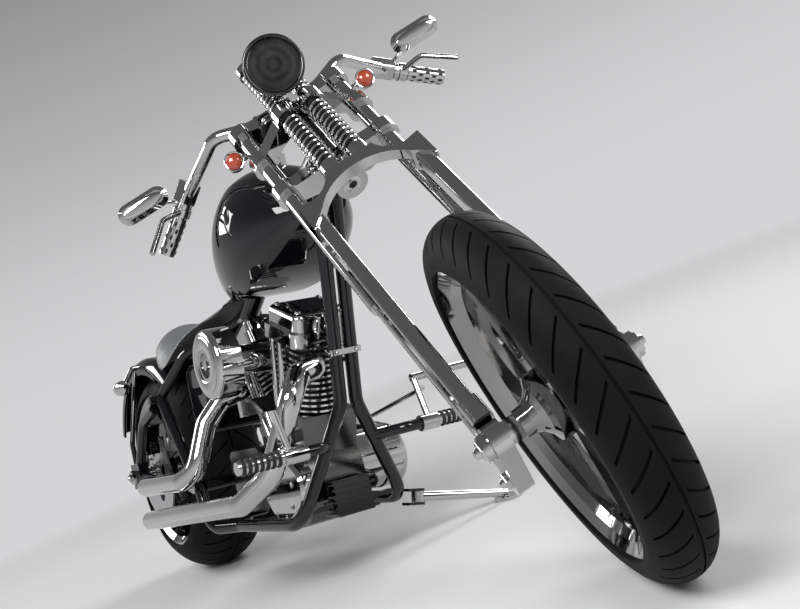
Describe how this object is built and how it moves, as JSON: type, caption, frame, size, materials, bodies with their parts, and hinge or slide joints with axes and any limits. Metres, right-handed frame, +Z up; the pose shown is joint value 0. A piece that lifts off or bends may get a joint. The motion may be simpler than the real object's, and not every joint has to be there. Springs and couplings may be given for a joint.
{
  "type": "chopper motorcycle",
  "caption": "Long raked chopper motorcycle with sprung girder fork, wide rear tyre, V-twin engine and twin side pipes, leaning on its side stand.",
  "frame": {"origin": "on the floor under the middle of the parked motorcycle's bounding box", "axes": "+X towards the front of the motorcycle, +Y to the rider's left, +Z up from the floor"},
  "size_m": [2.5561, 0.984, 1.2179],
  "materials": {
    "black_paint": "gloss black lacquer",
    "chrome": "mirror chrome",
    "case_alloy": "polished alloy",
    "black_fins": "black with bright fin edges",
    "tyre": "road tyre rubber",
    "rubber": "black rubber",
    "leather": "dark smooth leather",
    "glass": "dark lens",
    "disc_steel": "ground steel"
  },
  "bodies": {
    "chassis": {"air_cleaner": "chrome", "cam_cover": "chrome", "crankcase": "case_alloy", "cylinders": "black_fins", "drive_belt": "rubber", "exhaust_front": "chrome", "exhaust_rear": "chrome", "frame": "black_paint", "fuel_cap": "chrome", "fuel_tank": "black_paint", "gearbox": "case_alloy", "heads": "black_fins", "left_controls": "chrome", "oil_cooler": "black_paint", "oil_tank": "black_paint", "primary_cover": "chrome", "pushrod_tubes": "chrome", "rear_axle": "chrome", "rear_caliper": "chrome", "rear_fender": "black_paint", "rear_signals": "chrome", "right_controls": "chrome", "rocker_boxes": "chrome", "seat": "leather", "stand_bracket": "black_paint", "swingarm": "black_paint"},
    "steering": {"fork_legs": "chrome", "front_axle": "chrome", "front_caliper": "chrome", "front_signals": "chrome", "grips": "chrome", "handlebar": "chrome", "headlight": "chrome", "headlight_lens": "glass", "levers": "chrome", "lower_tree": "chrome", "mirrors": "chrome", "rockers": "chrome", "spring_bridge": "chrome", "spring_caps": "chrome", "spring_fork": "chrome", "springs": "chrome", "upper_tree": "chrome"},
    "front_roller": {"front_disc": "disc_steel", "front_tyre": "tyre", "front_wheel": "chrome"},
    "rear_roller": {"rear_disc": "disc_steel", "rear_pulley": "chrome", "rear_tyre": "tyre", "rear_wheel": "chrome"},
    "stand": {"side_stand": "chrome"}
  },
  "joints": [
    {"name": "steering_turn", "type": "hinge", "parent": "chassis", "child": "steering", "pos_m": [0.26127, -0.04123, 0.9622], "axis": [-0.6688, 0.1545, 0.7272], "range_deg": [0, 66]},
    {"name": "front_wheel_spin", "type": "hinge", "parent": "steering", "child": "front_roller", "pos_m": [0.95965, -0.23004, 0.33824], "axis": [0.4048, 0.8961, 0.1819], "continuous": true},
    {"name": "rear_wheel_spin", "type": "hinge", "parent": "chassis", "child": "rear_roller", "pos_m": [-0.95325, -0.17771, 0.32063], "axis": [-0.0001, 0.9781, -0.2079], "continuous": true},
    {"name": "side_stand_fold", "type": "hinge", "parent": "chassis", "child": "stand", "pos_m": [0.03666, -0.03661, 0.09906], "axis": [0.0338, 0.3934, 0.9187], "range_deg": [0, 100]}
  ]
}
